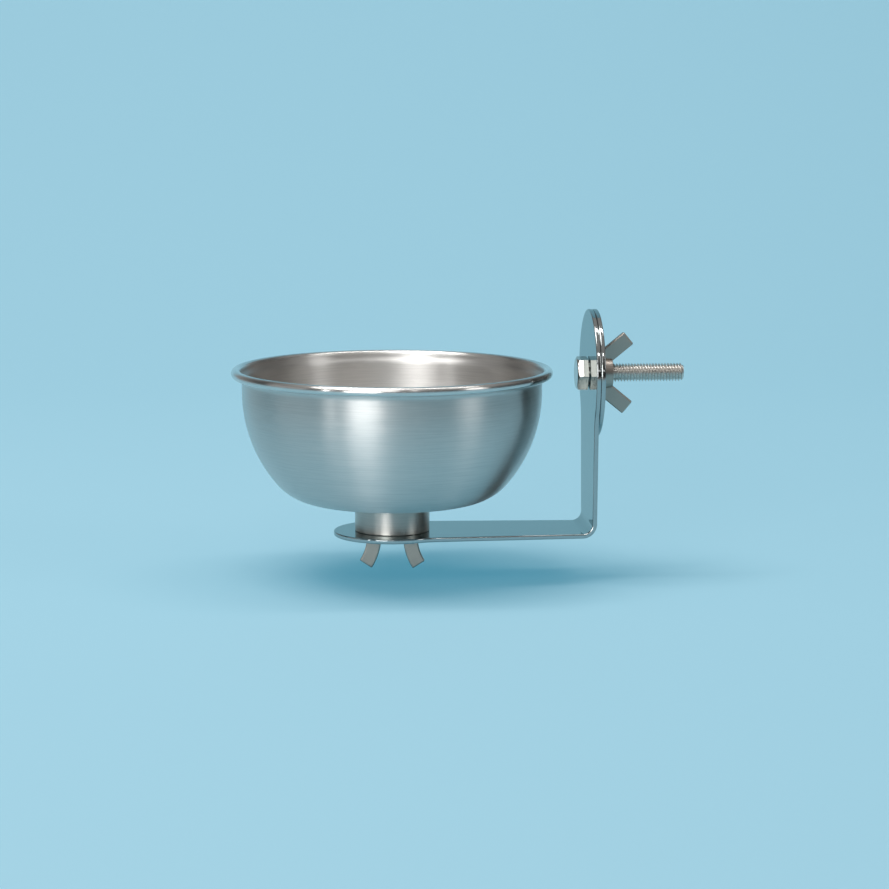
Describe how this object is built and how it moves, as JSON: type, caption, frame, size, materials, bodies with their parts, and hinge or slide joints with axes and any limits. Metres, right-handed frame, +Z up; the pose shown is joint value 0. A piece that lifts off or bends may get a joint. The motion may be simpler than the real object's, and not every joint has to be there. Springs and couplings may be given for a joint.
{
  "type": "seed cup",
  "caption": "Round spun steel seed cup on a bent steel bracket, with a bolt, loose disc and wing nut that clamp it to cage bars.",
  "frame": {"origin": "on the clamp bolt's axis, in the bracket face that bears on the cage bars", "axes": "+X along the clamp bolt towards its free end, +Z up along the bowl's axis"},
  "size_m": [0.1485, 0.105, 0.085],
  "materials": {
    "bowl_steel": "fine satin brushed round the axis",
    "bracket_steel": "polished",
    "screw_steel": "bright",
    "nut_steel": "dull tumbled"
  },
  "bodies": {
    "bracket": {"bracket": "bracket_steel", "clamp_bolt": "screw_steel"},
    "clamp_disc": {"clamp_disc": "bracket_steel"},
    "clamp_wing_nut": {"clamp_wing_nut": "nut_steel"},
    "bowl": {"bowl": "bowl_steel", "ferrule": "bowl_steel", "stud": "screw_steel"},
    "lock_washer": {"lock_washer": "screw_steel"},
    "bowl_wing_nut": {"bowl_wing_nut": "nut_steel"}
  },
  "joints": [
    {"name": "clamp_disc_slide", "type": "slide", "parent": "bracket", "child": "clamp_disc", "axis": [1, 0, 0], "range_m": [0, 0.022]},
    {"name": "clamp_nut_turn", "type": "hinge", "parent": "clamp_disc", "child": "clamp_wing_nut", "pos_m": [0.0015, 0, 0], "axis": [1, 0, 0], "range_deg": [0, 7920]},
    {"name": "bowl_swivel", "type": "hinge", "parent": "bracket", "child": "bowl", "pos_m": [-0.066, 0, -0.0513], "axis": [0, 0, 1], "continuous": true},
    {"name": "lock_washer_slide", "type": "slide", "parent": "bowl", "child": "lock_washer", "axis": [0, 0, -1], "range_m": [0, 0.0018]},
    {"name": "bowl_nut_turn", "type": "hinge", "parent": "lock_washer", "child": "bowl_wing_nut", "pos_m": [-0.066, 0, -0.0535], "axis": [0, 0, -1], "range_deg": [0, 648]}
  ],
  "couplings": [
    {"joint": "clamp_disc_slide", "follows": "clamp_nut_turn", "m_per_rad": 0.00015915},
    {"joint": "lock_washer_slide", "follows": "bowl_nut_turn", "m_per_rad": 0.00015915}
  ]
}
